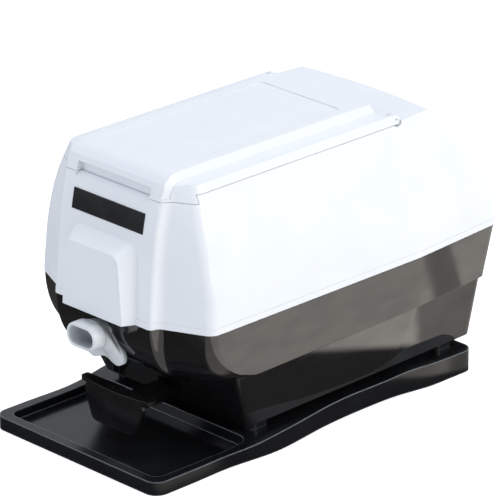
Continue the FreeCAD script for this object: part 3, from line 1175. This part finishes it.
def make_valve_knob():
    z0 = WELL_PLATE_Z + 2.4
    pieces = [rod_z(KNOB_RADIUS, VALVE_X, VALVE_Y, z0, z0 + KNOB_HEIGHT),
              rod_z(STEM_RADIUS, VALVE_X, VALVE_Y, WELL_PLATE_Z - 14, z0 + 1)]
    flutes = []
    for index in range(KNOB_RIBS):
        angle = 2 * math.pi * index / KNOB_RIBS
        reach = KNOB_RADIUS + 0.5
        flutes.append(rod_z(1.3, VALVE_X + reach * math.cos(angle), VALVE_Y + reach * math.sin(angle),
                            z0 - 1, z0 + KNOB_HEIGHT + 1))
    pointer = box(VALVE_X - 0.6, VALVE_X + 0.6, VALVE_Y - KNOB_RADIUS, VALVE_Y - 2, z0 + KNOB_HEIGHT - 0.6,
                  z0 + KNOB_HEIGHT + 1)
    return joined(pieces).cut(flutes + [pointer]).removeSplitter()


# ---------------------------------------------------------------- wiring, rear switch and gland
def make_terminal_block():
    y0 = 84.0
    z0 = step_z(y0) + HOUSING_FLOOR
    base = box(-24, 24, y0, y0 + 16, z0 - 4, z0 + 6).cut(below_step(HOUSING_FLOOR))
    towers = [box(-22 + 12 * index, -14 + 12 * index, y0 + 2, y0 + 14, z0 + 5, z0 + 14) for index in range(4)]
    holes = [rod_y(2.2, -18 + 12 * index, z0 + 10, y0, y0 + 16) for index in range(4)]
    return joined([base] + towers).cut(holes)


def rear_face_y(x, z):
    """Outer face of the housing's leaning rear wall."""
    half = SEAM_HALF_WIDTH - REAR_NARROWING
    tuck = REAR_TUCK * (SEAM_Z - z) / (SEAM_Z - STEP_FRONT_Z)
    return REAR_Y - tuck - REAR_BOW + (REAR_BOW + 0.8) * (1 - abs(x) / half)


def make_rocker_switch():
    face = rear_face_y(ROCKER_X - ROCKER_HALF_WIDTH, ROCKER_Z) - ROCKER_SEAT
    half_w = ROCKER_HALF_WIDTH
    half_h = ROCKER_HALF_HEIGHT
    envelope = housing_envelope()
    flange = box(ROCKER_X - half_w - BEZEL, ROCKER_X + half_w + BEZEL, face - 6, face + 4.2,
                 ROCKER_Z - half_h - BEZEL, ROCKER_Z + half_h + BEZEL).cut(envelope)
    body = box(ROCKER_X - half_w, ROCKER_X + half_w, face - SWITCH_BODY_DEPTH, face + 4.2,
               ROCKER_Z - half_h, ROCKER_Z + half_h)
    window = box(ROCKER_X - half_w + 1.4, ROCKER_X + half_w - 1.4, face - 6, face + 9,
                 ROCKER_Z - half_h + 1.4, ROCKER_Z + half_h - 1.4)
    tags = [box(ROCKER_X - 3, ROCKER_X + 3, face - SWITCH_BODY_DEPTH - 7, face - SWITCH_BODY_DEPTH + 0.5,
                ROCKER_Z + lift - 0.4, ROCKER_Z + lift + 0.4) for lift in (-5, 0, 5)]
    return joined([body, flange] + tags).cut([window, rocker_pin(RUNNING_FIT)]).removeSplitter()


def rocker_axis_y():
    return rear_face_y(ROCKER_X - ROCKER_HALF_WIDTH, ROCKER_Z) - ROCKER_SEAT + 0.8


def rocker_pin(clearance=0.0):
    reach = ROCKER_HALF_WIDTH - 0.6 + clearance
    return rod_x(1.1 + clearance, rocker_axis_y(), ROCKER_Z, ROCKER_X - reach, ROCKER_X + reach)


def make_rocker():
    """Rocker with two faces meeting in a shallow valley, lying in its off position."""
    y = rocker_axis_y()
    half_h = ROCKER_HALF_HEIGHT - 2.4
    half_w = ROCKER_HALF_WIDTH - 1.8
    drop = math.tan(math.radians(ROCKER_TILT)) * half_h
    profile = [(y - 2.4, ROCKER_Z - 4.0), (y + 2.6, ROCKER_Z - half_h), (y + 2.6 + drop, ROCKER_Z - half_h),
               (y + 2.6, ROCKER_Z), (y + 2.6 + drop, ROCKER_Z + half_h), (y + 2.6, ROCKER_Z + half_h),
               (y - 2.4, ROCKER_Z + 4.0)]
    rocker = side_prism(profile, half_w, ROCKER_X).fuse(rocker_pin()).removeSplitter()
    rocker.rotate(Vector(ROCKER_X, y, ROCKER_Z), Vector(1, 0, 0), ROCKER_TILT)
    return rocker


def make_cord_gland():
    face = rear_face_y(GLAND_X, GLAND_Z)
    flange = rod_y(GLAND_RADIUS + 2.5, GLAND_X, GLAND_Z, face - 6, face + GLAND_FLANGE + 1).cut(housing_envelope())
    sleeve = rod_y(GLAND_RADIUS, GLAND_X, GLAND_Z, face - 14, face + GLAND_FLANGE + 1)
    bore = rod_y(GLAND_BORE_RADIUS, GLAND_X, GLAND_Z, 0, FAR)
    return joined([sleeve, flange]).cut(bore).removeSplitter()


# ---------------------------------------------------------------- export
def make_all():
    brackets, spacers = make_motor_brackets()
    return {
        "drip_tray": make_drip_tray(),
        "standoff_feet": make_standoff_feet(),
        "tray_screws": make_tray_screws(),
        "pedestal": make_pedestal(),
        "lower_housing": make_lower_housing(),
        "top_cover": make_top_cover(),
        "cover_screws": make_cover_screws(),
        "fill_lid": make_fill_lid(),
        "lid_hinge_pins": make_lid_hinge_pins(),
        "label_plate": make_label_plate(),
        "spout": make_spout(),
        "push_lever": make_push_lever(),
        "lever_pin": make_lever_pin(),
        "lever_spring": make_lever_spring(),
        "microswitch": make_microswitch(),
        "switch_plunger": make_switch_plunger(),
        "motor_stack": make_motor_stack(),
        "motor_coil": make_motor_coil(),
        "motor_brackets": brackets,
        "motor_spacers": spacers,
        "motor_screws": make_motor_screws(),
        "shaft_bushes": make_shaft_bushes(),
        "motor_shaft": make_motor_shaft(),
        "motor_rotor": make_motor_rotor(),
        "cooling_fan": make_cooling_fan(),
        "shaft_coupling": make_shaft_coupling(),
        "impeller_shaft": make_impeller_shaft(),
        "impeller": make_impeller(),
        "mixing_chamber": make_mixing_chamber(),
        "chamber_cover": make_chamber_cover(),
        "chamber_gasket": make_chamber_gasket(),
        "chamber_screws": make_chamber_screws(),
        "shaft_seal": make_shaft_seal(),
        "heater": make_heater(),
        "thermostat": make_thermostat(),
        "soap_tank": make_soap_tank(),
        "reservoir_cap": make_reservoir_cap(),
        "cap_seal": make_cap_seal(),
        "feed_tube": make_feed_tube(),
        "valve_body": make_valve_body(),
        "air_tube": make_air_tube(),
        "valve_knob": make_valve_knob(),
        "terminal_block": make_terminal_block(),
        "rocker_switch": make_rocker_switch(),
        "rocker": make_rocker(),
        "cord_gland": make_cord_gland(),
    }


os.makedirs("parts", exist_ok=True)
for name, shape in make_all().items():
    shape.exportStep("parts/" + name + ".step")
